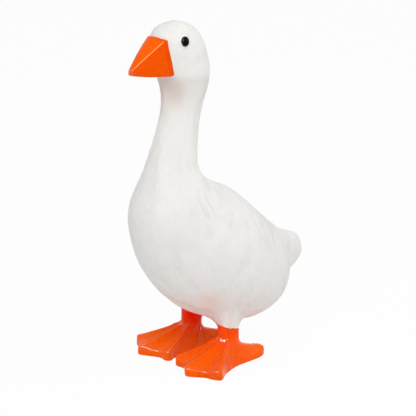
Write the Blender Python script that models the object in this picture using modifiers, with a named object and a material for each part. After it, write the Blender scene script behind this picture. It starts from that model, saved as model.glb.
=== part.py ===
"""A standing goose ornament: one painted casting with two bead eyes.

Metres, +Z up. The goose faces -Y and its left side is +X. The origin is on the
floor, under the middle of the whole figure.
"""

import math

import bmesh
import bpy
import numpy as np
from mathutils import Matrix, Vector
from mathutils.bvhtree import BVHTree

# Body: from the belly's lowest point to the back, and from the breast to the tail
BELLY_HEIGHT = 0.041
BODY_HEIGHT = 0.187
BODY_LENGTH = 0.256
BODY_WIDTH = 0.157

# Neck: a leaning column in front of the legs
NECK_LENGTH = 0.122
NECK_WIDTH = 0.0525
NECK_FORWARD = 0.045

# Head
HEAD_HEIGHT = 0.082
HEAD_LENGTH = 0.079
HEAD_WIDTH = 0.062
HEAD_ROUNDNESS = 0.88

# Beak: a four sided pyramid whose root follows the face
BEAK_LENGTH = 0.032
BEAK_HEIGHT = 0.0450
BEAK_TOP_WIDTH = 0.0368
BEAK_BOTTOM_WIDTH = 0.0415
BEAK_RISE = 0.0192
BEAK_TIP_WIDTH = 0.0055
BEAK_TIP_HEIGHT = 0.0050
BEAK_TIP_RISE = 0.0038
BEAK_LIP = 0.0026
BEAK_EDGE = 0.0011
BEAK_RIDGE_TURN = 25
BEAK_ROOT_DEPTH = 0.012

# Eyes: low beads set in sockets
EYE_TALL = 0.0114
EYE_WIDE = 0.0093
EYE_DOME = 0.0032
EYE_CLEARANCE = 0.0003
EYE_RISE = 0.062
EYE_FORWARD = 0.010

# Legs
LEG_DIAMETER = 0.028
LEG_SPACING = 0.078
LEG_SETBACK = 0.003
THIGH_REACH = 0.020
THIGH_LEAST_REACH = 0.009
THIGH_TOP = 0.066
THIGH_FALL = 0.013
THIGH_OVER_ANKLE = 0.003
THIGH_SINK = 0.0008
LEG_ROOT_DEPTH = 0.006

# Webbed feet, measured from the leg's axis
TOE_REACH = 0.074
HEEL_REACH = 0.056
FOOT_WIDTH = 0.0815
TOE_HEIGHT = 0.0120
ANKLE_HEIGHT = 0.031
HEEL_HEIGHT = 0.023
RIB_HEIGHT = 0.0030
WEB_SAG = 0.35
ANKLE_FILLET = 0.003
SOLE_EDGE = 0.0012

# Fineness of the surfaces
SKIN_LEVELS = 2
RING_QUARTERS = 3
STEPS_PER_TOE_POINT = 3
THIGH_STEPS = 3
EYE_SEGMENTS = 16

# Colours and how rough each surface is
WHITE = (0.83, 0.82, 0.80, 1.0)
ORANGE = (0.90, 0.12, 0.004, 1.0)
BLACK = (0.006, 0.006, 0.007, 1.0)
PAINT_ROUGHNESS = 0.45
ENAMEL_ROUGHNESS = 0.25
BEAD_ROUGHNESS = 0.08

# Sections from tail to neck: the back's y and z, the breast's y and z, the width.
# y is a share of the body's length, z of its height, width of its width.
BODY_SECTIONS = [
    (0.582, 0.463, 0.557, 0.309, 0.113),
    (0.530, 0.529, 0.510, 0.270, 0.167),
    (0.437, 0.576, 0.456, 0.219, 0.322),
    (0.353, 0.661, 0.395, 0.106, 0.566),
    (0.259, 0.766, 0.306, 0.034, 0.787),
    (0.171, 0.872, 0.192, 0.002, 0.932),
    (0.088, 0.957, 0.060, 0.025, 1.000),
    (0.015, 1.000, -0.110, 0.107, 0.995),
    (-0.039, 1.047, -0.267, 0.275, 0.932),
    (-0.078, 1.086, -0.371, 0.501, 0.817),
    (-0.098, 1.139, -0.418, 0.764, 0.692),
]

# The same for the neck: y is a share of its width, z of its length.
NECK_SECTIONS = [
    (0.371, 0.294, -0.994, -0.024, 1.554),
    (0.423, 0.418, -0.758, 0.286, 1.219),
    (0.490, 0.593, -0.505, 0.625, 1.002),
    (0.589, 0.807, -0.392, 0.916, 1.010),
]

# The same for the head, from jaw to crown.
HEAD_SECTIONS = [
    (0.492, 0.057, -0.325, 0.191, 0.960),
    (0.487, 0.435, -0.405, 0.490, 1.000),
    (0.335, 0.800, -0.437, 0.765, 0.935),
    (0.165, 0.960, -0.335, 0.930, 0.630),
    (-0.030, 1.016, -0.130, 1.010, 0.130),
]

# Rim of the beak's root, half of it from the top down: x as a share of the half
# width at that height, z as a share of the beak's height.
BEAK_ROOT = [(0.0, 1.03), (0.96, 1.0), (1.035, 0.52), (1.0, 0.05), (0.88, 0.0), (0.0, 0.0)]
BEAK_NARROWING = 0.92

# Outline of the left foot, from the heel round by the inner side: x as a share of
# the foot's width, y as a share of the toe or the heel reach, and the height of
# the rim as a share of the toe height.
FOOT_OUTLINE = [
    (-0.02, 1.00, 0.66),
    (-0.11, 0.91, 0.66),
    (-0.16, 0.64, 0.55),
    (-0.18, 0.28, 0.40),
    (-0.21, -0.05, 0.40),
    (-0.26, -0.35, 0.50),
    (-0.32, -0.62, 0.75),
    (-0.39, -0.76, 0.95),
    (-0.33, -0.83, 0.95),
    (-0.16, -0.82, 0.82),
    (0.04, -0.95, 0.95),
    (0.17, -1.00, 0.95),
    (0.38, -0.81, 0.82),
    (0.53, -0.75, 0.95),
    (0.61, -0.65, 0.95),
    (0.45, -0.44, 0.60),
    (0.35, -0.26, 0.42),
    (0.25, -0.03, 0.36),
    (0.19, 0.34, 0.36),
    (0.13, 0.73, 0.55),
    (0.06, 0.93, 0.66),
]
# Where on that outline the ribs and the heel lie, and how far each spreads
TOES = (7.5, 10.5, 13.5)
HEEL = 0.0
TOE_SPREAD = 0.9
HEEL_SPREAD = 2.4

# How steeply the upper side falls from the ankle to the webs and to the heel,
# where a rib starts and how much of its arch is used, and the rings from rim to leg
WEB_FALL = 1.35
HEEL_FALL = 0.75
RIB_START = 0.12
RIB_RUN = 0.70
FOOT_RINGS = (0.965, 0.84, 0.64, 0.42, 0.20, 0.0)


def clear_scene():
    for old in list(bpy.data.objects):
        bpy.data.objects.remove(old)


def new_collection(name):
    collection = bpy.data.collections.new(name)
    bpy.context.scene.collection.children.link(collection)
    return collection


def material(name, colour, roughness):
    mat = bpy.data.materials.new(name)
    mat.use_nodes = True
    shader = mat.node_tree.nodes["Principled BSDF"]
    shader.inputs["Base Color"].default_value = colour
    shader.inputs["Roughness"].default_value = roughness
    shader.inputs["Metallic"].default_value = 0.0
    mat.diffuse_color = colour
    return mat


def add_object(name, bm, mat, collection):
    mesh = bpy.data.meshes.new(name)
    bm.to_mesh(mesh)
    bm.free()
    mesh.materials.append(mat)
    mesh.shade_smooth()
    obj = bpy.data.objects.new(name, mesh)
    collection.objects.link(obj)
    return obj


def as_form(obj):
    """A form that only adds to or cuts another object."""
    obj.hide_render = True
    obj.display_type = 'WIRE'
    return obj


def mirror_halves(obj):
    mod = obj.modifiers.new("two_sides", 'MIRROR')
    mod.use_axis = (True, False, False)
    mod.merge_threshold = 0.0001
    return mod


def combine(obj, form, operation):
    mod = obj.modifiers.new(form.name, 'BOOLEAN')
    mod.operation = operation
    mod.solver = 'EXACT'
    mod.object = form
    mod.material_mode = 'TRANSFER'


def loft(bm, rings, closed):
    """Quads between neighbouring rings of vertices, facing out for a ring that
    runs counterclockwise seen from the side that the rings advance to."""
    count = len(rings[0])
    for low, high in zip(rings, rings[1:]):
        for i in range(count if closed else count - 1):
            j = (i + 1) % count
            bm.faces.new((low[i], low[j], high[j], high[i]))


def through(values):
    """Cage values whose smoothed run passes through the given ones."""
    values = np.array(values)
    count = len(values)
    weights = np.zeros((count, count))
    weights[0, 0] = weights[-1, -1] = 1.0
    for i in range(1, count - 1):
        weights[i, i - 1:i + 2] = (1 / 6, 4 / 6, 1 / 6)
    return np.linalg.solve(weights, values)


def skin_sections():
    """All the sections in metres: back y and z, breast y and z, half width and how
    round each is (1 is an ellipse, less is squarer)."""
    back_height = BELLY_HEIGHT + BODY_HEIGHT
    head_base = back_height + NECK_LENGTH
    regions = (
        (BODY_SECTIONS, 0.0, BODY_LENGTH, BELLY_HEIGHT, BODY_HEIGHT, BODY_WIDTH, 1.0),
        (NECK_SECTIONS, -NECK_FORWARD, NECK_WIDTH, back_height, NECK_LENGTH, NECK_WIDTH, 1.0),
        (HEAD_SECTIONS, -NECK_FORWARD, HEAD_LENGTH, head_base, HEAD_HEIGHT, HEAD_WIDTH,
         HEAD_ROUNDNESS),
    )
    rows = []
    for sections, y0, y_size, z0, z_size, width, roundness in regions:
        for back_y, back_z, front_y, front_z, share in sections:
            rows.append((y0 + back_y * y_size, z0 + back_z * z_size,
                         y0 + front_y * y_size, z0 + front_z * z_size,
                         share * width / 2, roundness))
    return rows


def half_ring(bm, section):
    """Cage vertices from the breast round the left side to the back."""
    back_y, back_z, front_y, front_z, half_width, roundness = section
    step = math.pi / (2 * RING_QUARTERS)
    outset = 3 / (2 + math.cos(step))
    centre = Vector((0, (back_y + front_y) / 2, (back_z + front_z) / 2))
    to_front = Vector((0, front_y - back_y, front_z - back_z)) / 2 * outset
    to_side = Vector((half_width * outset, 0, 0))
    ring = []
    for i in range(2 * RING_QUARTERS + 1):
        forward = math.cos(i * step)
        forward = math.copysign(abs(forward) ** roundness, forward)
        sideways = abs(math.sin(i * step)) ** roundness
        ring.append(bm.verts.new(centre + to_front * forward + to_side * sideways))
    ring[0].co.x = ring[-1].co.x = 0.0
    return ring


def close_end(bm, ring, flip):
    """Quads across an end ring, with a triangle at its side."""
    low, high = 0, len(ring) - 1
    while high - low > 1:
        corners = [ring[low], ring[low + 1], ring[high - 1], ring[high]]
        if high - low == 2:
            corners = [ring[low], ring[low + 1], ring[high]]
        bm.faces.new(reversed(corners) if flip else corners)
        low += 1
        high -= 1


def body_skin(mat, collection):
    """Tail, body, neck and head as one smoothed half cage."""
    bm = bmesh.new()
    rings = [half_ring(bm, section) for section in through(skin_sections())]
    loft(bm, rings, closed=False)
    close_end(bm, rings[0], flip=True)
    close_end(bm, rings[-1], flip=False)
    obj = add_object("goose", bm, mat, collection)
    mirror_halves(obj)
    smooth = obj.modifiers.new("smooth_skin", 'SUBSURF')
    smooth.levels = SKIN_LEVELS
    smooth.render_levels = SKIN_LEVELS
    return obj


def skin_tree(obj):
    """The smoothed skin, for finding points on it."""
    return BVHTree.FromObject(obj, bpy.context.evaluated_depsgraph_get())


def on_skin(tree, start, direction):
    location, normal, _, _ = tree.ray_cast(Vector(start), Vector(direction))
    return location, normal


def beak(tree, mat, collection):
    """Facets from a blunt tip back to a root that lies on the face."""
    base = BELLY_HEIGHT + BODY_HEIGHT + NECK_LENGTH + BEAK_RISE
    face_y = -NECK_FORWARD - HEAD_LENGTH / 2
    tip_y = face_y - BEAK_LENGTH
    middle = base + BEAK_HEIGHT / 2
    outline = BEAK_ROOT + [(-x, z) for x, z in reversed(BEAK_ROOT[1:-1])]
    bm = bmesh.new()
    rings = [[], [], []]
    for x_share, z_share in outline:
        half = (BEAK_BOTTOM_WIDTH + (BEAK_TOP_WIDTH - BEAK_BOTTOM_WIDTH) * z_share) / 2
        x = x_share * half
        z = base + z_share * BEAK_HEIGHT
        skin_y = on_skin(tree, (x, tip_y, z), (0, 1, 0))[0].y
        deep_z = middle + (z - middle) * BEAK_NARROWING
        tip_z = base + BEAK_TIP_RISE + BEAK_TIP_HEIGHT * z_share
        points = (
            (x * BEAK_NARROWING, skin_y + BEAK_ROOT_DEPTH, deep_z),
            (x, skin_y - BEAK_LIP, z),
            (x_share * BEAK_TIP_WIDTH / 2, tip_y, tip_z),
        )
        for ring, point in zip(rings, points):
            ring.append(bm.verts.new(point))
    loft(bm, rings, closed=True)
    bm.faces.new(reversed(rings[0]))
    bm.faces.new(rings[-1])
    bmesh.ops.recalc_face_normals(bm, faces=bm.faces)
    obj = add_object("beak_form", bm, mat, collection)
    edge = obj.modifiers.new("edges", 'BEVEL')
    edge.width = BEAK_EDGE
    edge.segments = 2
    edge.limit_method = 'ANGLE'
    edge.angle_limit = math.radians(BEAK_RIDGE_TURN)
    return as_form(obj)


def smooth_loop(points, steps):
    """A closed curve through the points (Catmull-Rom), with its run number."""
    count = len(points)
    samples = []
    for i in range(count):
        a, b, c, d = (np.array(points[(i + k) % count]) for k in (-1, 0, 1, 2))
        for s in range(steps):
            u = s / steps
            value = 0.5 * (2 * b + (c - a) * u + (2 * a - 5 * b + 4 * c - d) * u ** 2
                           + (3 * b - a - 3 * c + d) * u ** 3)
            samples.append((i + u, value))
    return samples


def nearness(run, place, spread):
    """One where the run meets the place on the outline, falling to zero."""
    count = len(FOOT_OUTLINE)
    gap = abs(run - place) % count
    gap = min(gap, count - gap)
    return math.exp(-(gap / spread) ** 2)


def foot_columns():
    """For each step round the left foot: rim point, rim height, shares of toe
    rib and of heel, and the direction in which its line leaves the leg."""
    points = []
    for x, y, rim in FOOT_OUTLINE:
        reach = HEEL_REACH if y > 0 else TOE_REACH
        points.append((x * FOOT_WIDTH, y * reach, rim * TOE_HEIGHT))
    columns = []
    for run, (x, y, rim) in smooth_loop(points, STEPS_PER_TOE_POINT):
        rib = max(nearness(run, toe, TOE_SPREAD) for toe in TOES)
        heel = nearness(run, HEEL, HEEL_SPREAD)
        even = math.pi / 2 + 2 * math.pi * run / len(points)
        off_even = (math.atan2(y, x) - even + math.pi) % (2 * math.pi) - math.pi
        angle = even + off_even / 2
        direction = Vector((math.cos(angle), math.sin(angle), 0))
        columns.append((Vector((x, y, 0)), rim, rib, heel, direction))
    return columns


def foot_top(column, share):
    """A point of the foot's upper side, from the ankle (0) to the rim (1)."""
    rim_point, rim, rib, heel, direction = column
    ankle = direction * (LEG_DIAMETER / 2)
    point = ankle.lerp(rim_point, share)
    peak = ANKLE_HEIGHT + (HEEL_HEIGHT - ANKLE_HEIGHT) * heel
    fall = WEB_FALL + (HEEL_FALL - WEB_FALL) * heel
    slope = (1 - share) ** fall
    rib_arch = math.sin(math.pi * (RIB_START + share * RIB_RUN))
    web_arch = math.sin(math.pi * share * RIB_RUN)
    lift = RIB_HEIGHT * (rib * rib_arch - WEB_SAG * web_arch)
    fillet = ANKLE_FILLET * math.exp(-share * (rim_point - ankle).length / ANKLE_FILLET)
    point.z = rim + (peak - rim) * slope + lift * (1 - heel) + fillet
    return point


def thigh_curve(column, skin_over):
    """From the leg out to the belly and level with it there, measured from the
    leg's axis. The reach shrinks where the belly climbs steeply or ends."""
    direction = column[4]
    reach = THIGH_REACH
    spot, normal = skin_over(direction, reach)
    while spot is None or (spot.z > THIGH_TOP and reach > THIGH_LEAST_REACH):
        reach -= THIGH_SINK
        spot, normal = skin_over(direction, reach)
    climb = -normal.dot(direction) / normal.z
    top = spot.z + THIGH_SINK
    corner = top - climb * reach
    start = max(corner - THIGH_FALL, foot_top(column, 0.0).z + THIGH_OVER_ANKLE)
    leg_line = direction * (LEG_DIAMETER / 2)
    low = leg_line + Vector((0, 0, start))
    middle = leg_line + Vector((0, 0, corner))
    high = leg_line + direction * reach + Vector((0, 0, top))
    points = []
    for step in range(THIGH_STEPS + 1):
        t = step / THIGH_STEPS
        points.append(low * (1 - t) ** 2 + middle * (2 * t * (1 - t)) + high * t ** 2)
    return points


def leg_and_foot(tree, mat, collection):
    """Lofted from the sole over the webbed foot, up the leg and into the belly."""
    axis = Vector((LEG_SPACING / 2, LEG_SETBACK, 0))
    columns = foot_columns()
    bm = bmesh.new()
    rings = []

    def ring(point_of):
        rings.append([bm.verts.new(axis + point_of(column)) for column in columns])

    def rim(column, inset, height):
        point = column[0] - column[4] * inset
        return Vector((point.x, point.y, height))

    ring(lambda c: rim(c, SOLE_EDGE, 0.0))
    ring(lambda c: rim(c, 0.0, SOLE_EDGE))
    ring(lambda c: rim(c, 0.0, foot_top(c, 1.0).z - SOLE_EDGE))
    for share in FOOT_RINGS:
        ring(lambda c: foot_top(c, share))

    radius = LEG_DIAMETER / 2

    def skin_over(direction, reach):
        start = axis + direction * (radius + reach)
        return on_skin(tree, (start.x, start.y, -BODY_HEIGHT), (0, 0, 1))

    curves = [thigh_curve(column, skin_over) for column in columns]
    for spots in zip(*curves):
        rings.append([bm.verts.new(axis + spot) for spot in spots])

    def buried(c):
        point = c[4] * radius
        return Vector((point.x, point.y, skin_over(c[4], 0.0)[0].z + LEG_ROOT_DEPTH))

    ring(buried)
    loft(bm, rings, closed=True)
    bm.faces.new(reversed(rings[0]))
    bm.faces.new(rings[-1])
    obj = add_object("leg_form", bm, mat, collection)
    mirror_halves(obj)
    return as_form(obj)


def bead(name, centre, normal, grow, mat, collection):
    """A low round bead whose short axis points along the normal."""
    bm = bmesh.new()
    bmesh.ops.create_uvsphere(bm, u_segments=EYE_SEGMENTS, v_segments=EYE_SEGMENTS // 2, radius=1.0)
    size = Vector((EYE_WIDE / 2 + grow, EYE_TALL / 2 + grow, EYE_DOME + grow))
    bmesh.ops.scale(bm, vec=size, verts=bm.verts)
    obj = add_object(name, bm, mat, collection)
    turn = normal.to_track_quat('Z', 'Y').to_matrix().to_4x4()
    obj.matrix_world = Matrix.Translation(centre) @ turn
    return obj


def stand_on_origin(goose):
    """Puts the origin on the floor, under the middle of the figure."""
    origin = bpy.data.objects.new("figure_origin", None)
    bpy.context.scene.collection.objects.link(origin)
    graph = bpy.context.evaluated_depsgraph_get()
    graph.update()
    depths = [corner[1] for corner in goose.evaluated_get(graph).bound_box]
    for obj in bpy.data.objects:
        if obj is not origin:
            obj.parent = origin
    origin.location.y = -(min(depths) + max(depths)) / 2


def main():
    clear_scene()
    figure = new_collection("goose_figurine")
    forms = new_collection("forms")
    white = material("white_paint", WHITE, PAINT_ROUGHNESS)
    orange = material("orange_enamel", ORANGE, ENAMEL_ROUGHNESS)
    black = material("black_bead", BLACK, BEAD_ROUGHNESS)

    goose = body_skin(white, figure)
    tree = skin_tree(goose)
    combine(goose, leg_and_foot(tree, orange, forms), 'UNION')
    combine(goose, beak(tree, orange, forms), 'UNION')

    eye_z = BELLY_HEIGHT + BODY_HEIGHT + NECK_LENGTH + EYE_RISE
    for side, name in ((1, "left"), (-1, "right")):
        start = (side * HEAD_WIDTH, -NECK_FORWARD - EYE_FORWARD, eye_z)
        centre, normal = on_skin(tree, start, (-side, 0, 0))
        socket = as_form(bead("socket_" + name, centre, normal, EYE_CLEARANCE, white, forms))
        combine(goose, socket, 'DIFFERENCE')
        bead("eye_" + name, centre, normal, 0.0, black, figure)
    stand_on_origin(goose)


main()
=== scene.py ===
import math

import bmesh
import bpy
import numpy as np
from mathutils import Matrix, Vector
from mathutils.bvhtree import BVHTree


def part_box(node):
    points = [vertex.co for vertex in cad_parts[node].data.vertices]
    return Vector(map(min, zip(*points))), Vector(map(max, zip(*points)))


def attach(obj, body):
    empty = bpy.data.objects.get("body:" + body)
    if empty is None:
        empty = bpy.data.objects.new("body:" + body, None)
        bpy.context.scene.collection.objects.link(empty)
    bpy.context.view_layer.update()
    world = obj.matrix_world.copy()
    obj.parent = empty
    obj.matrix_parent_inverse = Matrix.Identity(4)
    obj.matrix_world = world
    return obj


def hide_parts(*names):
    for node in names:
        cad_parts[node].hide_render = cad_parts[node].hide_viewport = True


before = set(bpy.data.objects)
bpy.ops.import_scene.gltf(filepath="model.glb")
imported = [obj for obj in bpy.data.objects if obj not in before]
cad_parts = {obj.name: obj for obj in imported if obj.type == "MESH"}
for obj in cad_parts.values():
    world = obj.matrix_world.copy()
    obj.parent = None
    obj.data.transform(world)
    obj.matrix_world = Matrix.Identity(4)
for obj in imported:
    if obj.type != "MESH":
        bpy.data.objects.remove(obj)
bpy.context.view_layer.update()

GOOSE_LOW, GOOSE_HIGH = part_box("goose")

# Sizes of the figure, in metres: the goose faces -Y and its left side is +X
BELLY_HEIGHT = 0.041
BODY_HEIGHT = 0.187
BODY_LENGTH = 0.256
BODY_WIDTH = 0.157
NECK_LENGTH = 0.122
NECK_WIDTH = 0.0525
NECK_FORWARD = 0.045
HEAD_HEIGHT = 0.082
HEAD_LENGTH = 0.079
HEAD_WIDTH = 0.062
HEAD_ROUNDNESS = 0.88
BACK_HEIGHT = BELLY_HEIGHT + BODY_HEIGHT
HEAD_BASE = BACK_HEIGHT + NECK_LENGTH

# Sections from tail to neck: the back's y and z, the breast's y and z, the width
BODY_SECTIONS = [
    (0.582, 0.463, 0.557, 0.309, 0.113),
    (0.530, 0.529, 0.510, 0.270, 0.167),
    (0.437, 0.576, 0.456, 0.219, 0.322),
    (0.353, 0.661, 0.395, 0.106, 0.566),
    (0.259, 0.766, 0.306, 0.034, 0.787),
    (0.171, 0.872, 0.192, 0.002, 0.932),
    (0.088, 0.957, 0.060, 0.025, 1.000),
    (0.015, 1.000, -0.110, 0.107, 0.995),
    (-0.039, 1.047, -0.267, 0.275, 0.932),
    (-0.078, 1.086, -0.371, 0.501, 0.817),
    (-0.098, 1.139, -0.418, 0.764, 0.692),
]
NECK_SECTIONS = [
    (0.371, 0.294, -0.994, -0.024, 1.554),
    (0.423, 0.418, -0.758, 0.286, 1.219),
    (0.490, 0.593, -0.505, 0.625, 1.002),
    (0.589, 0.807, -0.392, 0.916, 1.010),
]
HEAD_SECTIONS = [
    (0.492, 0.057, -0.325, 0.191, 0.960),
    (0.487, 0.435, -0.405, 0.490, 1.000),
    (0.335, 0.800, -0.437, 0.765, 0.935),
    (0.165, 0.960, -0.335, 0.930, 0.630),
    (-0.030, 1.016, -0.130, 1.010, 0.130),
]
RING_QUARTERS = 3
SKIN_LEVELS = 4
MERGE_DISTANCE = 0.00005

# Beak: the corner cuts and the bows are shares of its root's half width and height
BEAK_LENGTH = 0.032
BEAK_HEIGHT = 0.0450
BEAK_TOP_WIDTH = 0.0368
BEAK_BOTTOM_WIDTH = 0.0415
BEAK_RISE = 0.0192
BEAK_TIP_WIDTH = 0.0055
BEAK_TIP_HEIGHT = 0.0050
BEAK_TIP_RISE = 0.0038
BEAK_LIP = 0.0026
BEAK_ROOT_DEPTH = 0.012
BEAK_NARROWING = 0.92
BEAK_TOP_CORNER = 0.03
BEAK_LOW_CORNER = 0.10
BEAK_TOP_BOW = 0.045
BEAK_SIDE_BOW = 0.055
SIDE_FACET_SHARE = 0.98
BEAK_CROWN = 0.0013
BEAK_ROLL = 0.0013
BEAK_TIP_ROUND = 0.0022
BEAK_SIDE_STEPS = 14
BEAK_RINGS = 18
BEAK_RING_CROWDING = 1.3
CORNER_STEPS = 4

# Eyes: low beads set in sockets
EYE_TALL = 0.0114
EYE_WIDE = 0.0093
EYE_DOME = 0.0032
EYE_CLEARANCE = 0.0003
EYE_RISE = 0.062
EYE_FORWARD = 0.010
EYE_SEGMENTS = 48

# Legs and webbed feet, measured from the leg's axis
LEG_DIAMETER = 0.028
LEG_SPACING = 0.078
LEG_SETBACK = 0.003
THIGH_REACH = 0.022
THIGH_LEAST_REACH = 0.009
THIGH_REACH_STEP = 0.0005
THIGH_TOP = 0.067
THIGH_FALL = 0.015
THIGH_OVER_ANKLE = 0.003
THIGH_SINK = 0.0008
THIGH_BLEND_START = (0.0145, 0.020)
THIGH_BLEND_END = (0.052, 0.034)
THIGH_BLEND_HEIGHT = (0.037, 0.043)
THIGH_BLEND_ROUNDS = 60
THIGH_BLEND_FACTOR = 0.5
THIGH_BLEND_LEAST = 0.02
LEG_ROOT_DEPTH = 0.006
TOE_REACH = 0.074
HEEL_REACH = 0.056
FOOT_WIDTH = 0.0815
TOE_HEIGHT = 0.0120
ANKLE_HEIGHT = 0.031
HEEL_HEIGHT = 0.023
RIB_HEIGHT = 0.0034
WEB_SAG = 0.35
ANKLE_FILLET = 0.003
SOLE_EDGE = 0.0012
TOE_EDGE = 0.0032
HEEL_ROUNDING = 1.1
HEEL_LENGTHENING = 1.2
KNUCKLE_HEIGHT = 0.0012
KNUCKLE_PLACE = 0.15
KNUCKLE_SPREAD = 0.055
THIN_RIM_SHARE = 0.5
THICK_RIM_SHARE = 0.8
SOLE_TURNS = (90, 60, 30, 0)
RIM_TURNS = (0, 25, 50, 75)

# Outline of the left foot, from the heel round by the inner side: x as a share of
# the foot's width, y as a share of the toe or the heel reach, and the rim's height
FOOT_OUTLINE = [
    (-0.02, 1.00, 0.70),
    (-0.11, 0.91, 0.70),
    (-0.16, 0.64, 0.55),
    (-0.18, 0.28, 0.40),
    (-0.21, -0.05, 0.40),
    (-0.26, -0.35, 0.50),
    (-0.32, -0.62, 0.75),
    (-0.39, -0.76, 0.95),
    (-0.33, -0.83, 0.95),
    (-0.16, -0.82, 0.82),
    (0.04, -0.95, 0.95),
    (0.17, -1.00, 0.95),
    (0.38, -0.81, 0.82),
    (0.53, -0.75, 0.95),
    (0.61, -0.65, 0.95),
    (0.45, -0.44, 0.60),
    (0.35, -0.26, 0.42),
    (0.25, -0.03, 0.36),
    (0.19, 0.34, 0.36),
    (0.13, 0.73, 0.55),
    (0.06, 0.93, 0.70),
]
STEPS_PER_TOE_POINT = 8
TOES = (7.5, 10.5, 13.5)
HEEL = 0.0
TOE_SPREAD = 0.66
HEEL_SPREAD = 2.4
WEB_FALL = 1.35
HEEL_FALL = 0.75
RIB_START = 0.12
RIB_RUN = 0.70
FOOT_RING_COUNT = 22
THIGH_RING_COUNT = 8

# The row's origin is under the middle of the figure, the sections' origin is not
BEAK_TIP_Y = -NECK_FORWARD - HEAD_LENGTH / 2 - BEAK_LENGTH
SHIFT = GOOSE_LOW.y - BEAK_TIP_Y

# Hand-worked unevenness of the casting
RELIEF_DEPTH = 0.0016
RELIEF_SIZE = 0.034
RELIEF_FADE = (0.004, 0.030)

# Where the orange enamel of the legs ends: height, distance from the leg's axis
PAINT_LINE = 0.0474
PAINT_SLOPE = 0.20
PAINT_REACH = 0.0205
RIGHT_PAINT_RAISE = 0.0045
FEET_TOP = 0.0395

# The jaw's front end (y and z), and how much the jaw's line falls to the back
JAW_FRONT = (-0.0636, 0.3680)
JAW_SLOPE = 0.095

# Middles of the painted shade under the beak and on the neck, and of the orange wipe on the belly,
# y as in the sections
THROAT_SHADE = (0.0, -0.082, 0.350)
NECK_SHADE_PATCH = (0.016, -0.060, 0.351)
NECK_SHADE_FLATTENING = 0.65
BELLY_WIPE = (0.052, -0.036, 0.089)

# The line where orange ran down the belly: its x and z, its fall, the second line's gap
DRIP_START = (0.012, 0.090)
DRIP_FALL = 0.66
DRIP_GAP = 0.0055

# Creases before the tail, with painted shade along them, and folds by the shoulder: distances, half
# widths, strengths
TAIL_MIDDLE = (0.0, 0.125, 0.135)
TAIL_CREASES = ((0.083, 0.0016, 1.0), (0.092, 0.0013, 0.7))
FOLD_START = (-0.0487, 0.210)
FOLD_LEAN = 0.34
SHOULDER_FOLDS = ((0.0, 0.0040, 1.0), (0.010, 0.0035, 0.8))

# Round the eye, in half sizes of the bead: fresh paint, and the socket's fine line of painted shade
FRESH_PAINT_RING = 1.22
SOCKET_LINE = 1.55

# Colours of the white paint, of the orange enamel and of the beads, some of them painted shade, a
# painted highlight or partly painted reflection
WHITE = (0.835, 0.825, 0.805)
SHADE_AND_STREAK_BEIGE = (0.62, 0.545, 0.475)
FRESH_WHITE = (0.92, 0.915, 0.90)
CREASE_SHADE_GREY = (0.40, 0.38, 0.36)
TINGE = (0.86, 0.40, 0.20)
ORANGE = (1.0, 0.124, 0.0008)
DEEP_ORANGE = (0.80, 0.060, 0.0006)
SHADE_ORANGE = (1.0, 0.008, 0.0003)
ROLLED_EDGE_SHADE_ORANGE = (0.66, 0.040, 0.0008)
RIDGE_HIGHLIGHT_ORANGE = (1.0, 0.46, 0.18)
BEAD_BLACK = (0.003, 0.0026, 0.002)

# How strongly each surface mirrors, and how rough the wet gloss on the tips is
PAINT_GLOSS = 0.06
BEAK_GLOSS = 0.025
BEAD_GLOSS = 0.055
WET_ROUGHNESS = 0.10

# Studio: a pale floor, soft light from all round, and lamps that aim at the figure's
# middle: name, place, side length, watts. A gloss lamp shows in reflections alone
FLOOR = (0.90, 0.90, 0.90)
FLOOR_REACH = 12.0
FLOOR_WHITE_SHARE = 0.945
ROOM_LIGHT = 0.61
LAMP_AIM = (0.0, 0.0, 0.22)
SOFTBOXES = (
    ("softbox_over_camera", (0.92, -0.90, 1.60), 0.90, 13.4),
    ("softbox_behind", (0.80, 1.20, 1.10), 0.90, 5.0),
)
GLOSS_LAMPS = (
    ("gloss_lamp_front", (0.21, -1.50, 1.20), 1.00, 125.0),
)


# Shader values and finishes


class Value:
    """A number that varies over a surface: each operator adds its Math node."""

    def __init__(self, nodes, socket):
        self.nodes = nodes
        self.socket = socket

    def maths(self, operation, *terms):
        made = self.nodes.node("ShaderNodeMath", {"operation": operation}, dict(enumerate(terms)))
        return Value(self.nodes, made.outputs[0])

    def __add__(self, other):
        return self.maths('ADD', self, other)

    def __radd__(self, other):
        return self.maths('ADD', other, self)

    def __sub__(self, other):
        return self.maths('SUBTRACT', self, other)

    def __rsub__(self, other):
        return self.maths('SUBTRACT', other, self)

    def __mul__(self, other):
        return self.maths('MULTIPLY', self, other)

    def __rmul__(self, other):
        return self.maths('MULTIPLY', other, self)

    def __rtruediv__(self, other):
        return self.maths('DIVIDE', other, self)

    def __pow__(self, other):
        return self.maths('POWER', self, other)

    def __abs__(self):
        return self.maths('ABSOLUTE', self)

    def or_more(self, other):
        return self.maths('MAXIMUM', self, other)

    def or_less(self, other):
        return self.maths('MINIMUM', self, other)


def length(*parts):
    """How long a line with these parts along the axes is."""
    total = parts[0] * parts[0]
    for part in parts[1:]:
        total = total + part * part
    return total ** 0.5


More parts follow.
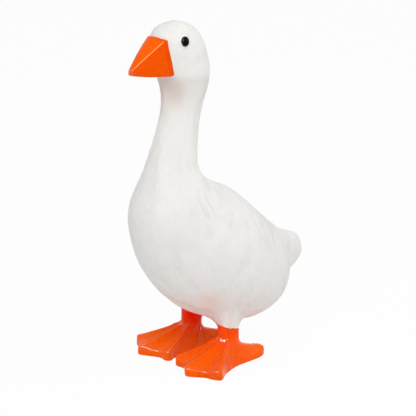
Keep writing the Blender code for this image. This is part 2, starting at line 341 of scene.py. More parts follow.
class Nodes:
    """A node tree in which one method adds every node."""

    def __init__(self, tree):
        self.tree = tree
        tree.nodes.clear()

    def node(self, kind, settings=None, sockets=None):
        made = self.tree.nodes.new(kind)
        for key, value in (settings or {}).items():
            setattr(made, key, value)
        for key, value in (sockets or {}).items():
            self.feed(made.inputs[key], value)
        return made

    def feed(self, socket, value):
        if isinstance(value, Value):
            value = value.socket
        if isinstance(value, bpy.types.NodeSocket):
            self.tree.links.new(value, socket)
        elif socket.type == 'RGBA':
            socket.default_value = (*value, 1.0)
        else:
            socket.default_value = value

    def parts(self, vector):
        made = self.node("ShaderNodeSeparateXYZ", {}, {"Vector": vector})
        return [Value(self, made.outputs[axis]) for axis in "XYZ"]

    def noise(self, place, frequency, detail=2.0, roughness=0.5):
        """Soft random values around 0.5, with that many features to a metre."""
        sockets = {"Vector": place, "Scale": frequency, "Detail": detail, "Roughness": roughness}
        made = self.node("ShaderNodeTexNoise", {"noise_dimensions": '3D'}, sockets)
        return Value(self, made.outputs[0])

    def rise(self, value, low, high):
        """Zero up to low, one from high on, smooth between. low may be the higher."""
        sockets = {"Value": value, "From Min": min(low, high), "From Max": max(low, high)}
        made = self.node("ShaderNodeMapRange", {"interpolation_type": 'SMOOTHSTEP'}, sockets)
        up = Value(self, made.outputs[0])
        return 1 - up if low > high else up

    def between(self, value, start, full, still, end):
        """One from full to still, and zero before start and after end."""
        return self.rise(value, start, full) * self.rise(value, end, still)

    def stripe(self, value, reach, full):
        """One where the value is nearly zero, and zero where it is over reach."""
        return self.rise(abs(value), reach, full)

    def white_behind(self, shader, white, share):
        """The white shader for the camera, for reflections and through glass, and
        the other one for the light that falls on the figure."""
        path = self.node("ShaderNodeLightPath").outputs
        seen = Value(self, path["Is Camera Ray"])
        seen = seen.or_more(path["Is Glossy Ray"]).or_more(path["Is Transmission Ray"])
        mix = self.node("ShaderNodeMixShader", {}, {0: seen * share, 1: shader, 2: white})
        return mix.outputs[0]


class Finish(Nodes):
    """A material of procedural nodes, laid out in the figure's own space."""

    def __init__(self, name):
        self.material = bpy.data.materials.new(name)
        self.material.use_nodes = True
        super().__init__(self.material.node_tree)
        self.place = self.node("ShaderNodeTexCoord").outputs["Object"]

    def stretched(self, scale):
        made = self.node("ShaderNodeMapping", {}, {"Vector": self.place, "Scale": scale})
        return made.outputs[0]

    def away(self, point):
        """Distance from a point whose y is as in the sections."""
        x, y, z = point
        sockets = {0: self.place, 1: (x, y + SHIFT, z)}
        made = self.node("ShaderNodeVectorMath", {"operation": 'DISTANCE'}, sockets)
        return Value(self, made.outputs["Value"])

    def painted_on(self, name):
        """The share that a mesh's own attribute gives."""
        made = self.node("ShaderNodeAttribute", {"attribute_name": name})
        return Value(self, made.outputs["Fac"])

    def mixed(self, first, second, factor):
        made = self.node("ShaderNodeMix", {"data_type": 'RGBA'}, {0: factor, 6: first, 7: second})
        return made.outputs[2]

    def bump(self, height, distance, normal=None):
        sockets = {"Height": height, "Distance": distance}
        if normal:
            sockets["Normal"] = normal
        return self.node("ShaderNodeBump", {}, sockets).outputs[0]

    def surface(self, sockets):
        shader = self.node("ShaderNodeBsdfPrincipled", {}, sockets)
        self.node("ShaderNodeOutputMaterial", {}, {"Surface": shader.outputs[0]})
        return self.material


# Making meshes


def link(obj):
    bpy.context.scene.collection.objects.link(obj)
    return obj


def add_object(name, bm):
    mesh = bpy.data.meshes.new(name)
    bm.to_mesh(mesh)
    bm.free()
    mesh.shade_smooth()
    return link(bpy.data.objects.new(name, mesh))


def plain(obj, name):
    """A copy of the object as its modifiers leave it. The first is removed."""
    graph = bpy.context.evaluated_depsgraph_get()
    graph.update()
    mesh = bpy.data.meshes.new_from_object(obj.evaluated_get(graph), depsgraph=graph)
    bpy.data.objects.remove(obj)
    mesh.name = name
    mesh.shade_smooth()
    return link(bpy.data.objects.new(name, mesh))


def points_of(obj):
    spots = np.empty(len(obj.data.vertices) * 3, np.float32)
    obj.data.vertices.foreach_get("co", spots)
    return spots.reshape(-1, 3)


def put_points(obj, spots):
    obj.data.vertices.foreach_set("co", spots.astype(np.float32).ravel())
    obj.data.update()


def keep_in_box(obj):
    """Moves the object into the row's frame, and trims what passes the CAD box."""
    spots = points_of(obj)
    spots[:, 1] += SHIFT
    put_points(obj, np.clip(spots, np.array(GOOSE_LOW), np.array(GOOSE_HIGH)))


def mirror_halves(obj):
    mod = obj.modifiers.new("two_sides", 'MIRROR')
    mod.use_axis = (True, False, False)
    mod.merge_threshold = MERGE_DISTANCE


def combine(obj, form, operation):
    mod = obj.modifiers.new(form.name, 'BOOLEAN')
    mod.operation = operation
    mod.solver = 'MANIFOLD'
    mod.object = form


def loft(bm, rings, closed):
    count = len(rings[0])
    for low, high in zip(rings, rings[1:]):
        for i in range(count if closed else count - 1):
            j = (i + 1) % count
            bm.faces.new((low[i], low[j], high[j], high[i]))


def curved(corners, steps):
    """Points of a curve from the first corner to the third, drawn by the second."""
    start, middle, end = corners
    points = []
    for s in range(steps + 1):
        t = s / steps
        points.append(start * (1 - t) ** 2 + middle * (2 * t * (1 - t)) + end * t ** 2)
    return points


# The skin: tail, body, neck and head


def through(values):
    """Cage values whose smoothed run passes through the given ones."""
    values = np.array(values)
    count = len(values)
    weights = np.zeros((count, count))
    weights[0, 0] = weights[-1, -1] = 1.0
    for i in range(1, count - 1):
        weights[i, i - 1:i + 2] = (1 / 6, 4 / 6, 1 / 6)
    return np.linalg.solve(weights, values)


def skin_sections():
    """All the sections in metres, each with its roundness."""
    regions = (
        (BODY_SECTIONS, 0.0, BODY_LENGTH, BELLY_HEIGHT, BODY_HEIGHT, BODY_WIDTH, 1.0),
        (NECK_SECTIONS, -NECK_FORWARD, NECK_WIDTH, BACK_HEIGHT, NECK_LENGTH, NECK_WIDTH, 1.0),
        (HEAD_SECTIONS, -NECK_FORWARD, HEAD_LENGTH, HEAD_BASE, HEAD_HEIGHT, HEAD_WIDTH,
         HEAD_ROUNDNESS),
    )
    rows = []
    for sections, y0, y_size, z0, z_size, width, roundness in regions:
        for back_y, back_z, front_y, front_z, share in sections:
            rows.append((y0 + back_y * y_size, z0 + back_z * z_size,
                         y0 + front_y * y_size, z0 + front_z * z_size,
                         share * width / 2, roundness))
    return rows


def half_ring(bm, section):
    """Cage vertices from the breast round the left side to the back."""
    back_y, back_z, front_y, front_z, half_width, roundness = section
    step = math.pi / (2 * RING_QUARTERS)
    outset = 3 / (2 + math.cos(step))
    centre = Vector((0, (back_y + front_y) / 2, (back_z + front_z) / 2))
    to_front = Vector((0, front_y - back_y, front_z - back_z)) / 2 * outset
    to_side = Vector((half_width * outset, 0, 0))
    ring = []
    for i in range(2 * RING_QUARTERS + 1):
        forward = math.cos(i * step)
        forward = math.copysign(abs(forward) ** roundness, forward)
        sideways = abs(math.sin(i * step)) ** roundness
        ring.append(bm.verts.new(centre + to_front * forward + to_side * sideways))
    ring[0].co.x = ring[-1].co.x = 0.0
    return ring


def close_end(bm, ring, flip):
    low, high = 0, len(ring) - 1
    while high - low > 1:
        corners = [ring[low], ring[low + 1], ring[high - 1], ring[high]]
        if high - low == 2:
            corners = [ring[low], ring[low + 1], ring[high]]
        bm.faces.new(reversed(corners) if flip else corners)
        low += 1
        high -= 1


def bare_skin():
    bm = bmesh.new()
    rings = [half_ring(bm, section) for section in through(skin_sections())]
    loft(bm, rings, closed=False)
    close_end(bm, rings[0], flip=True)
    close_end(bm, rings[-1], flip=False)
    obj = add_object("bare_skin", bm)
    mirror_halves(obj)
    smooth = obj.modifiers.new("smooth_skin", 'SUBSURF')
    smooth.levels = SKIN_LEVELS
    smooth.render_levels = SKIN_LEVELS
    return obj


def on_skin(tree, start, direction):
    location, normal, _, _ = tree.ray_cast(Vector(start), Vector(direction))
    return location, normal


# Legs and webbed feet


def smooth_loop(points, steps):
    """A closed curve through the points, with its run number."""
    count = len(points)
    samples = []
    for i in range(count):
        a, b, c, d = (np.array(points[(i + k) % count]) for k in (-1, 0, 1, 2))
        for s in range(steps):
            u = s / steps
            value = 0.5 * (2 * b + (c - a) * u + (2 * a - 5 * b + 4 * c - d) * u ** 2
                           + (3 * b - a - 3 * c + d) * u ** 3)
            samples.append((i + u, value))
    return samples


def nearness(run, place, spread):
    count = len(FOOT_OUTLINE)
    gap = abs(run - place) % count
    gap = min(gap, count - gap)
    return math.exp(-(gap / spread) ** 2)


def foot_columns():
    """For each step round the left foot: rim point, rim height, shares of toe
    rib and of heel, and the direction in which its line leaves the leg."""
    points = []
    for x, y, rim in FOOT_OUTLINE:
        reach = HEEL_REACH if y > 0 else TOE_REACH
        points.append((x * FOOT_WIDTH, y * reach, rim * TOE_HEIGHT))
    columns = []
    for run, (x, y, rim) in smooth_loop(points, STEPS_PER_TOE_POINT):
        rib = max(nearness(run, toe, TOE_SPREAD) for toe in TOES)
        heel = nearness(run, HEEL, HEEL_SPREAD)
        even = math.pi / 2 + 2 * math.pi * run / len(points)
        off_even = (math.atan2(y, x) - even + math.pi) % (2 * math.pi) - math.pi
        angle = even + off_even / 2
        direction = Vector((math.cos(angle), math.sin(angle), 0))
        columns.append((Vector((x, y, 0)), rim, rib, heel, direction))
    return columns


def ray_length(column):
    return (column[0] - column[4] * LEG_DIAMETER / 2).length


def foot_top(column, share):
    """A point of the foot's upper side, from the ankle (0) to the rim (1)."""
    rim_point, rim, rib, heel, direction = column
    ankle = direction * (LEG_DIAMETER / 2)
    point = ankle.lerp(rim_point, share)
    peak = ANKLE_HEIGHT + (HEEL_HEIGHT - ANKLE_HEIGHT) * heel
    fall = WEB_FALL + (HEEL_FALL - WEB_FALL) * heel
    slope = (1 - share) ** fall
    rib_arch = math.sin(math.pi * (RIB_START + share * RIB_RUN))
    web_arch = math.sin(math.pi * share * RIB_RUN)
    knuckle = math.exp(-((share - KNUCKLE_PLACE) / KNUCKLE_SPREAD) ** 2)
    lift = RIB_HEIGHT * (rib * rib_arch - WEB_SAG * web_arch) + KNUCKLE_HEIGHT * rib * knuckle
    fillet = ANKLE_FILLET * math.exp(-share * ray_length(column) / ANKLE_FILLET)
    point.z = rim + (peak - rim) * slope + lift * (1 - heel) + fillet
    return point


def edge_radius(column):
    """How round the rim's upper edge is: more at the heel, less at a thin rim."""
    _, rim, _, heel, _ = column
    share = THIN_RIM_SHARE + (THICK_RIM_SHARE - THIN_RIM_SHARE) * heel
    return min(TOE_EDGE * (1 + HEEL_ROUNDING * heel), rim * share)


def edge_inset(column, radius):
    """How far in the rounding of an edge reaches: further at the heel."""
    return radius * (1 + HEEL_LENGTHENING * column[3])


def edge_point(column, radius, turn, top):
    """A point on a rounded edge of the rim, from upright (0) to level (90)."""
    inset = edge_inset(column, radius) * (1 - math.cos(math.radians(turn)))
    drop = radius * (1 - math.sin(math.radians(turn)))
    point = foot_top(column, 1 - inset / ray_length(column))
    point.z = drop if top is None else top - drop
    return point


def legs_and_feet(tree):
    axis = Vector((LEG_SPACING / 2, LEG_SETBACK, 0))
    columns = foot_columns()
    bm = bmesh.new()
    rings = []

    def ring(point_of):
        rings.append([bm.verts.new(axis + point_of(column)) for column in columns])

    def shoulder(column):
        """The share of the way out at which the rim's rounding starts."""
        return 1 - edge_inset(column, edge_radius(column)) / ray_length(column)

    for turn in SOLE_TURNS:
        ring(lambda c: edge_point(c, SOLE_EDGE, turn, None))
    for turn in RIM_TURNS:
        ring(lambda c: edge_point(c, edge_radius(c), turn, foot_top(c, shoulder(c)).z))
    for i in range(FOOT_RING_COUNT):
        share = 1 - i / (FOOT_RING_COUNT - 1)
        ring(lambda c: foot_top(c, share * shoulder(c)))

    def skin_over(direction, radius):
        start = axis + direction * radius
        return on_skin(tree, (start.x, start.y, -BODY_HEIGHT), (0, 0, 1))

    def thigh_curve(column):
        """From the leg out to the belly, level with the belly where it ends: its
        start, its corner and its end, all from the leg's axis."""
        direction = column[4]
        reach = THIGH_REACH
        spot, normal = skin_over(direction, radius + reach)
        while spot.z > THIGH_TOP and reach > THIGH_LEAST_REACH:
            reach -= THIGH_REACH_STEP
            spot, normal = skin_over(direction, radius + reach)
        climb = -normal.dot(direction) / normal.z
        top = spot.z + THIGH_SINK
        corner = top - climb * reach
        start = max(corner - THIGH_FALL, foot_top(column, 0.0).z + THIGH_OVER_ANKLE)
        leg_line = direction * radius
        return (leg_line + Vector((0, 0, start)), leg_line + Vector((0, 0, corner)),
                direction * (radius + reach) + Vector((0, 0, top)))

    radius = LEG_DIAMETER / 2
    curves = [curved(thigh_curve(column), THIGH_RING_COUNT) for column in columns]
    for spots in zip(*curves):
        rings.append([bm.verts.new(axis + spot) for spot in spots])

    def buried(c):
        point = c[4] * radius
        return Vector((point.x, point.y, skin_over(c[4], radius)[0].z + LEG_ROOT_DEPTH))

    ring(buried)
    loft(bm, rings, closed=True)
    bm.faces.new(reversed(rings[0]))
    bm.faces.new(rings[-1])
    obj = add_object("legs_and_feet", bm)
    mirror_halves(obj)
    return obj


def leg_distance(spots):
    """How far points are from the nearer leg's axis, in plan."""
    return np.hypot(np.abs(spots[:, 0]) - LEG_SPACING / 2, spots[:, 1] - LEG_SETBACK)


def soft_step(values, low, high):
    """Zero up to low, one from high on, smooth between. low may be the higher."""
    share = np.clip((values - low) / (high - low), 0, 1)
    return share * share * (3 - 2 * share)


def blend_thighs(obj):
    """Lets the belly flow into the thighs."""
    spots = points_of(obj)
    distance = leg_distance(spots)
    weights = soft_step(distance, *THIGH_BLEND_START) * soft_step(distance, *THIGH_BLEND_END)
    weights *= soft_step(spots[:, 2], *THIGH_BLEND_HEIGHT)
    weights[spots[:, 2] > BACK_HEIGHT / 2] = 0
    group = obj.vertex_groups.new(name="thigh_blend")
    for index in np.nonzero(weights > THIGH_BLEND_LEAST)[0]:
        group.add([int(index)], float(weights[index]), 'REPLACE')
    mod = obj.modifiers.new("thigh_blend", 'SMOOTH')
    mod.factor = THIGH_BLEND_FACTOR
    mod.iterations = THIGH_BLEND_ROUNDS
    mod.vertex_group = group.name


# Hand-worked relief, as a Geometry Nodes tree


def relief_tree(paint):
    tree = bpy.data.node_groups.new("hand_worked_relief", 'GeometryNodeTree')
    face = tree.interface
    face.new_socket("Geometry", in_out='INPUT', socket_type='NodeSocketGeometry')
    depth = face.new_socket("depth", in_out='INPUT', socket_type='NodeSocketFloat')
    size = face.new_socket("feature size", in_out='INPUT', socket_type='NodeSocketFloat')
    face.new_socket("Geometry", in_out='OUTPUT', socket_type='NodeSocketGeometry')
    n = Nodes(tree)
    given = n.node("NodeGroupInput").outputs
    place = n.node("GeometryNodeInputPosition").outputs[0]
    height = n.parts(place)[2]
    lumps = n.noise(place, 1 / Value(n, given["feature size"]))
    inward = (lumps - 1) * given["depth"] * n.rise(height, *RELIEF_FADE)
    offset = n.node("ShaderNodeVectorMath", {"operation": 'SCALE'}, {
        0: n.node("GeometryNodeInputNormal").outputs[0], "Scale": inward})
    moved = n.node("GeometryNodeSetPosition", {}, {
        "Geometry": given["Geometry"], "Offset": offset.outputs[0]})
    whole = n.node("GeometryNodeRealizeInstances", {}, {"Geometry": moved.outputs[0]})
    painted = n.node("GeometryNodeSetMaterial", {}, {
        "Geometry": whole.outputs[0], "Material": paint})
    n.node("NodeGroupOutput", {}, {"Geometry": painted.outputs[0]})
    return tree, {depth.identifier: RELIEF_DEPTH, size.identifier: RELIEF_SIZE}


def work_by_hand(obj, paint):
    tree, inputs = relief_tree(paint)
    mod = obj.modifiers.new("hand_worked_relief", 'NODES')
    mod.node_group = tree
    for identifier, value in inputs.items():
        mod[identifier] = value


# Beak and eyes


def beak_border():
    """Round the root, from the top right corner over the top and down the left
    side: shares of half width and height, and whether a top ridge starts there."""
    corners = [Vector((-1, 1)), Vector((1, 1)), Vector((1, 0)), Vector((-1, 0))]
    cuts = (BEAK_TOP_CORNER, BEAK_TOP_CORNER, BEAK_LOW_CORNER, BEAK_LOW_CORNER)
    border = []
    for i, corner in enumerate(corners):
        before = corner.lerp(corners[i - 1], cuts[i])
        after = corner.lerp(corners[(i + 1) % 4], cuts[i])
        arc = curved((before, corner, after), CORNER_STEPS)
        for s, point in enumerate(arc):
            border.append((point.x, point.y, s == CORNER_STEPS // 2 and corner.y == 1))
        last = corners[(i + 1) % 4].lerp(corner, cuts[(i + 1) % 4])
        for s in range(1, BEAK_SIDE_STEPS):
            point = after.lerp(last, s / BEAK_SIDE_STEPS)
            bow = math.sin(math.pi * s / BEAK_SIDE_STEPS)
            if i == 0:
                point.y += BEAK_TOP_BOW * bow
            if i in (1, 3):
                point.x *= 1 + BEAK_SIDE_BOW * bow
            border.append((point.x, point.y, False))
    return border


def beak_line(tree, x_share, z_share):
    """From inside the head over the rolled root edge and along the beak to the
    rounded tip: each point with its share of the way."""
    base = HEAD_BASE + BEAK_RISE
    middle = base + BEAK_HEIGHT / 2
    half = (BEAK_BOTTOM_WIDTH + (BEAK_TOP_WIDTH - BEAK_BOTTOM_WIDTH) * z_share) / 2
    x = x_share * half
    z = base + z_share * BEAK_HEIGHT
    skin_y = on_skin(tree, (x, BEAK_TIP_Y, z), (0, 1, 0))[0].y
    deep = Vector((x * BEAK_NARROWING, skin_y + BEAK_ROOT_DEPTH,
                   middle + (z - middle) * BEAK_NARROWING))
    root = Vector((x, skin_y - BEAK_LIP, z))
    tip_z = base + BEAK_TIP_RISE
    tip = Vector((x_share * BEAK_TIP_WIDTH / 2, BEAK_TIP_Y, tip_z + BEAK_TIP_HEIGHT * z_share))
    tip_middle = Vector((0, BEAK_TIP_Y, tip_z + BEAK_TIP_HEIGHT / 2))
    forward = (tip - root).normalized()
    outward = Vector((x_share, 0, 2 * z_share - 1)).normalized()
    start = root + forward * BEAK_ROLL
    end = tip - forward * BEAK_TIP_ROUND
    line = [(deep, 0.0)]
    roll = curved((root + Vector((0, BEAK_ROLL, 0)), root, start), CORNER_STEPS)
    line += [(point, 0.0) for point in roll]
    for i in range(1, BEAK_RINGS):
        t = (i / BEAK_RINGS) ** BEAK_RING_CROWDING
        line.append((start.lerp(end, t) + outward * BEAK_CROWN * math.sin(math.pi * t), t))
    blunt = curved((end, tip, tip.lerp(tip_middle, 0.5)), CORNER_STEPS)
    line += [(point, 1.0) for point in blunt]
    return line


def beak(tree):
    """The beak, whose points know how far along it they lie (along), how far from
    a top ridge in metres (off_ridge) and whether they are on a side facet."""
    border = beak_border()
    lines = [beak_line(tree, x_share, z_share) for x_share, z_share, _ in border]
    ridges = [line for line, place in zip(lines, border) if place[2]]
    bm = bmesh.new()
    along = bm.verts.layers.float.new("along")
    off_ridge = bm.verts.layers.float.new("off_ridge")
    on_side = bm.verts.layers.float.new("on_side")
    rings = [[] for _ in lines[0]]
    for line, (x_share, z_share, _) in zip(lines, border):
        for k, (point, share) in enumerate(line):
            vertex = bm.verts.new(point)
            vertex[along] = share
            vertex[off_ridge] = min((point - ridge[k][0]).length for ridge in ridges)
            vertex[on_side] = float(abs(x_share) > SIDE_FACET_SHARE)
            rings[k].append(vertex)
    loft(bm, rings, closed=True)
    bm.faces.new(reversed(rings[0]))
    bm.faces.new(rings[-1])
    bmesh.ops.recalc_face_normals(bm, faces=bm.faces)
    return add_object("beak", bm)


def bead(name, centre, normal, grow):
    bm = bmesh.new()
    bmesh.ops.create_uvsphere(bm, u_segments=EYE_SEGMENTS, v_segments=EYE_SEGMENTS // 2, radius=1.0)
    size = Vector((EYE_WIDE / 2 + grow, EYE_TALL / 2 + grow, EYE_DOME + grow))
    turn = normal.to_track_quat('Z', 'Y').to_matrix().to_4x4()
    bm.transform(Matrix.Translation(centre) @ turn @ Matrix.Diagonal((*size, 1.0)))
    return add_object(name, bm)


# Finishes


class GoosePaint(Finish):
    """White paint over the body, orange enamel below the paint line of the legs.
    y counts as in the sections."""

    def __init__(self):
        super().__init__("goose_paint")
        self.x, y, self.z = self.parts(self.place)
        self.y = y - SHIFT
        self.wide = abs(self.x)
        self.cloud = self.noise(self.place, 17, 3.0)
        self.dents = self.noise(self.stretched((1.0, 1.0, 0.6)), 55, 2.0)
        self.streak = self.noise(self.stretched((1.0, 1.0, 0.10)), 250, 3.0, 0.6)
        self.wide_streak = self.noise(self.stretched((1.0, 1.0, 0.16)), 77, 2.0)
        self.brush = self.noise(self.stretched((1.0, 1.0, 0.5)), 333, 3.0, 0.6)
        self.leg_x = self.wide - LEG_SPACING / 2
        self.leg_y = self.y - LEG_SETBACK
        self.from_leg = length(self.leg_x, self.leg_y)
        self.right = self.rise(self.x, 0.0, -0.01)
        self.over_jaw = self.z + (self.y - JAW_FRONT[0]) * JAW_SLOPE - JAW_FRONT[1]
        self.head = self.rise(self.over_jaw + (self.cloud - 0.5) * 0.008, -0.0070, 0.0040)

    def enamel_share(self):
        """The enamel ends a little higher on the right leg, and lower at the back."""
        ragged = self.noise(self.place, 222, 3.0, 0.6) - 0.5
        raised = self.right * RIGHT_PAINT_RAISE
        below_line = PAINT_LINE - self.leg_y * PAINT_SLOPE + raised - self.z + ragged * 0.006
        round_leg = PAINT_REACH + raised - self.from_leg + ragged * 0.005
        by_leg = self.rise(round_leg, -0.0004, 0.0004)
        by_leg = by_leg.or_more(self.rise(self.z, FEET_TOP, FEET_TOP - 0.0005))
        return self.rise(below_line, -0.0003, 0.0003) * by_leg

    def shade_and_streak_share(self):
        """Painted shade under the jaw and beak, on the neck below the jaw and in the hollows, and
        worn streaks.
        """
        # painted shade under the jaw, under the beak and on the neck below the jaw
        jaw_shade = self.rise(self.over_jaw, -0.050, -0.006) * (1 - self.head)
        throat_shade = self.rise(self.away(THROAT_SHADE), 0.050, 0.012)
        x, y, z = NECK_SHADE_PATCH
        neck_shade_gap = length(self.wide - x, self.y - y, (self.z - z) * NECK_SHADE_FLATTENING)
        neck_shade = self.rise(neck_shade_gap + (self.wide_streak - 0.5) * 0.006, 0.021, 0.0)
        wear_and_highlight = self.rise(self.streak * 0.5 + self.cloud * 0.5, 0.48, 0.64)
        wear_and_highlight = wear_and_highlight * (0.25 + self.rise(self.z, 0.15, 0.23) * 0.75)
        # painted shade in the dents low on the body
        hollow_shade = self.rise(self.dents, 0.52, 0.34) * self.rise(self.z, 0.24, 0.16)
        hollow_shade = hollow_shade * self.rise(self.cloud, 0.36, 0.56)
        return throat_shade * 0.20 + jaw_shade * 0.26 + neck_shade * 0.40 + wear_and_highlight * 0.09 + hollow_shade * 0.16

    def smear_and_reflection_share(self):
        """Orange wiped over the belly and round the tops of the legs; the streaks near the legs are
        partly orange paint and partly painted orange light reflected from the feet.
        """
        # near the legs: partly orange paint, partly painted orange light reflected from the feet
        near_legs = self.rise(self.z, 0.075, 0.048) * self.rise(self.from_leg, 0.050, 0.018)
        between_legs = 0.22 + self.rise(self.wide, 0.046, 0.018) * 0.5
        smear_and_reflection = self.rise(self.wide_streak, 0.40, 0.62) * near_legs * between_legs
        x, z = DRIP_START
        drip = self.z + (self.wide - x) * DRIP_FALL + (self.dents - 0.5) * 0.018 - z
        front = self.between(self.wide, 0.004, 0.014, 0.034, 0.046) * self.rise(self.y, 0.0, -0.02)
        lines = self.stripe(drip, 0.0012, 0.0002)
        lines = lines + self.stripe(drip + DRIP_GAP, 0.0009, 0.0002) * 0.7
        wipe = self.rise(self.away(BELLY_WIPE) + (self.streak - 0.5) * 0.014, 0.026, 0.002)
        return (smear_and_reflection + lines * front + wipe * 0.21).or_less(1.0)

    # The tail's creases get a bump and painted shade along them
    def tail_creases(self):
        from_tail = self.away(TAIL_MIDDLE) + (self.dents - 0.5) * 0.012
        creases = 0
        for distance, half_width, strength in TAIL_CREASES:
            creases = creases + self.stripe(from_tail - distance, half_width, 0.0002) * strength
        return creases * self.rise(self.z, 0.118, 0.140) * self.rise(self.cloud, 0.42, 0.56)

    def shoulder_folds(self):
        y, z = FOLD_START
        gap = self.y - y + (self.z - z) * FOLD_LEAN
        folds = 0
        for distance, half_width, strength in SHOULDER_FOLDS:
            folds = folds + self.stripe(gap - distance, half_width, 0.0) * strength
        height = self.between(self.z, 0.190, 0.205, 0.222, 0.236)
        return folds * height * self.rise(self.wide, 0.040, 0.050)

    def wet_share(self):
        """Thicker gloss on the toe tips and the insteps."""
        toe_tips = self.rise(self.from_leg, 0.053, 0.062) * self.rise(self.z, 0.0060, 0.0080)
        toe_tips = toe_tips * self.rise(self.leg_y, 0.01, 0.0)
        insteps = self.between(self.z, 0.0235, 0.0265, 0.0320, 0.0350)
        insteps = insteps * self.rise(self.from_leg, 0.024, 0.018)
        return (toe_tips + insteps) * self.rise(self.brush, 0.38, 0.60)

    def orange(self):
        """Deeper where it pooled, and redder up the legs and on their inner sides, where shade is
        painted in.
        """
        # painted shade: redder up the legs, more on the inner sides and on the right leg
        inner = self.rise(self.leg_x, 0.010, -0.012)
        shade = 0.34 + inner * 0.26 + self.right * inner * 0.34
        shade = self.rise(self.z, 0.012, 0.046) * shade
        pooled = self.rise(self.brush * 0.5 + self.cloud * 0.5, 0.46, 0.62) * 0.45
        return self.mixed(self.mixed(ORANGE, DEEP_ORANGE, pooled), SHADE_ORANGE, shade)

    def painted(self, eye):
        """The whole finish. eye is the middle of the left eye, and the right one
        mirrors it."""
        enamel = self.enamel_share()
        bare = 1 - enamel
        creases = self.tail_creases()
        eye_y = (self.y - eye.y) * (2 / EYE_WIDE)
        eye_z = (self.z - eye.z) * (2 / EYE_TALL)
        round_eye = length(eye_y, eye_z)
        fresh = self.stripe(round_eye - FRESH_PAINT_RING, 0.24, 0.10)
        # a fine line of painted shade in the socket round the eye
        socket_shade_line = self.stripe(round_eye - SOCKET_LINE, 0.10, 0.02)

        white = self.mixed(WHITE, SHADE_AND_STREAK_BEIGE, self.shade_and_streak_share())
        white = self.mixed(white, TINGE, self.smear_and_reflection_share())
        white = self.mixed(white, FRESH_WHITE, fresh)
        # painted shade along the socket line and the tail's creases
        white = self.mixed(white, CREASE_SHADE_GREY, socket_shade_line * 0.14 + creases * 0.17)
        colour = self.mixed(white, self.orange(), enamel)
        satin = 0.54 + (self.cloud - 0.5) * 0.24
        glossy = 0.14 + self.brush * 0.10

        strokes = self.streak * 0.35 + self.wide_streak * 0.75
        fine = self.bump(strokes * bare + (self.brush * 0.6 + 0.6) * enamel, 0.0005)
        form = self.dents * 1.6 + self.head * 0.4 - creases * 0.20
        form = form + self.shoulder_folds() * 0.35 + self.rise(round_eye, SOCKET_LINE, 1.25) * 0.12
        return self.surface({"Base Color": colour, "Roughness": satin * bare + glossy * enamel,
                             "Normal": self.bump(form * bare, 0.0030, fine),
                             "Specular IOR Level": PAINT_GLOSS, "Coat Roughness": WET_ROUGHNESS,
                             "Coat Weight": self.wet_share() * enamel * 0.40})


def beak_enamel():
    """Orange enamel, with painted shade in the rolled root edge and on the side facets, and a pale
    painted highlight along the top ridges.
    """
    f = Finish("beak_enamel")
    brush = f.noise(f.stretched((1.0, 0.35, 1.0)), 333, 3.0, 0.6)
    cloud = f.noise(f.place, 56, 2.0)
    along = f.painted_on("along")
    off_ridge = f.painted_on("off_ridge")
    side = f.painted_on("on_side")
    # the side facets are darker: painted shade
    orange = f.mixed(ORANGE, DEEP_ORANGE, f.rise(brush, 0.45, 0.75) * 0.32 + side * 0.46)
    # the rolled root edge is darker: painted shade
    rolled = f.rise(along, 0.034, 0.008)
    orange = f.mixed(orange, ROLLED_EDGE_SHADE_ORANGE, rolled * 0.28)
    # a pale painted highlight along the top ridges
    wear_and_highlight = f.rise(off_ridge + (brush - 0.5) * 0.0006, 0.00068, 0.00028)
    wear_and_highlight = wear_and_highlight * f.rise(along, 0.005, 0.04) * f.rise(along, 0.96, 0.90)
    orange = f.mixed(orange, RIDGE_HIGHLIGHT_ORANGE, wear_and_highlight * 0.85)
    normal = f.bump(brush * 0.6 + cloud * 1.2 - rolled * 0.8, 0.0004)
    return f.surface({"Base Color": orange, "Roughness": 0.14 + brush * 0.12,
                      "Normal": normal, "Specular IOR Level": BEAK_GLOSS,
                      "Coat Weight": f.rise(along, 0.95, 1.0) * 0.90,
                      "Coat Roughness": WET_ROUGHNESS})


def bead_glass():
    f = Finish("bead_gloss")
    haze = f.noise(f.place, 250, 2.0)
    return f.surface({"Base Color": BEAD_BLACK, "Roughness": 0.05 + haze * 0.05,
                      "Specular IOR Level": BEAD_GLOSS})


# The figure


def build_goose():
    skin = bare_skin()
    tree = BVHTree.FromObject(skin, bpy.context.evaluated_depsgraph_get())
    legs = legs_and_feet(tree)
    combine(skin, legs, 'UNION')
    eye_z = HEAD_BASE + EYE_RISE
    sockets = []
    eyes = []
    centres = []
    for side, name in ((1, "left"), (-1, "right")):
        start = (side * HEAD_WIDTH, -NECK_FORWARD - EYE_FORWARD, eye_z)
        centre, normal = on_skin(tree, start, (-side, 0, 0))
        centres.append(centre)
        sockets.append(bead("socket_" + name, centre, normal, EYE_CLEARANCE))
        combine(skin, sockets[-1], 'DIFFERENCE')
        eyes.append(bead("eye_bead_" + name, centre, normal, 0.0))
    paint = GoosePaint().painted(centres[0])
    whole = plain(skin, "goose_whole")
    blend_thighs(whole)
    work_by_hand(whole, paint)
    whole = plain(whole, "goose_skin")
    for form in [legs, *sockets]:
        bpy.data.objects.remove(form)
    bill = beak(tree)
    bill.data.materials.append(beak_enamel())
    glass = bead_glass()
    for eye in eyes:
        eye.data.materials.append(glass)
    for obj in (whole, bill, *eyes):
        keep_in_box(obj)
    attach(whole, "root")
    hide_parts("goose")
    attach(bill, "root")
    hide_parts("goose")
    for eye, node in zip(eyes, ("eye_left", "eye_right")):
        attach(eye, "root")
        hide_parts(node)


# Floor, light and camera


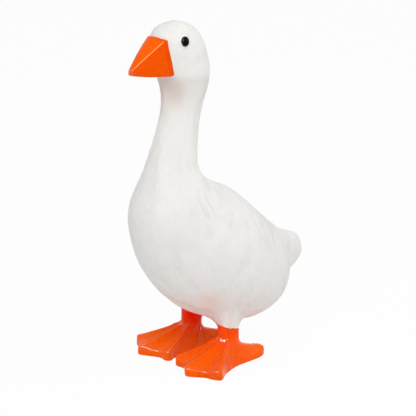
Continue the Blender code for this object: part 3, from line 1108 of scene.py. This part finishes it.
def make_floor():
    bm = bmesh.new()
    bmesh.ops.create_grid(bm, x_segments=1, y_segments=1, size=FLOOR_REACH)
    floor = add_object("floor", bm)
    finish = Finish("floor")
    pale = finish.node("ShaderNodeBsdfDiffuse", {}, {"Color": FLOOR})
    glow = finish.node("ShaderNodeEmission", {}, {"Color": (1.0, 1.0, 1.0), "Strength": 1.0})
    shown = finish.white_behind(pale.outputs[0], glow.outputs[0], FLOOR_WHITE_SHARE)
    finish.node("ShaderNodeOutputMaterial", {}, {"Surface": shown})
    floor.data.materials.append(finish.material)


def make_world():
    world = bpy.data.worlds.new("studio")
    bpy.context.scene.world = world
    world.use_nodes = True
    n = Nodes(world.node_tree)
    soft = n.node("ShaderNodeBackground", {}, {"Color": (1.0, 1.0, 1.0), "Strength": ROOM_LIGHT})
    white = n.node("ShaderNodeBackground", {}, {"Color": (1.0, 1.0, 1.0), "Strength": 1.0})
    shown = n.white_behind(soft.outputs[0], white.outputs[0], 1.0)
    n.node("ShaderNodeOutputWorld", {}, {"Surface": shown})


def make_lamp(name, place, size, power):
    data = bpy.data.lights.new(name, 'AREA')
    data.shape = 'SQUARE'
    data.size = size
    data.energy = power
    lamp = link(bpy.data.objects.new(name, data))
    lamp.location = place
    lamp.rotation_mode = 'QUATERNION'
    lamp.rotation_quaternion = (Vector(place) - Vector(LAMP_AIM)).to_track_quat('Z', 'Y')
    return lamp


CAMERA_AZIMUTH = 53.4
CAMERA_ELEVATION = 15.1
CAMERA_DISTANCE = 2.58
CAMERA_LENS = 179.65
CAMERA_TARGET = Vector((0.0, SHIFT, 0.1918))


def make_camera():
    data = bpy.data.cameras.new("camera")
    data.lens = CAMERA_LENS
    data.sensor_width = 36.0
    data.clip_end = 50.0
    camera = link(bpy.data.objects.new("camera", data))
    a = math.radians(CAMERA_AZIMUTH)
    e = math.radians(CAMERA_ELEVATION)
    back = Vector((math.sin(a) * math.cos(e), -math.cos(a) * math.cos(e), math.sin(e)))
    camera.location = CAMERA_TARGET + back * CAMERA_DISTANCE
    camera.rotation_mode = 'QUATERNION'
    camera.rotation_quaternion = back.to_track_quat('Z', 'Y')
    bpy.context.scene.camera = camera


make_camera()
make_floor()
make_world()
for softbox in SOFTBOXES:
    make_lamp(*softbox)
for lamp in GLOSS_LAMPS:
    make_lamp(*lamp).visible_diffuse = False
build_goose()
bpy.context.scene.view_settings.view_transform = 'Standard'
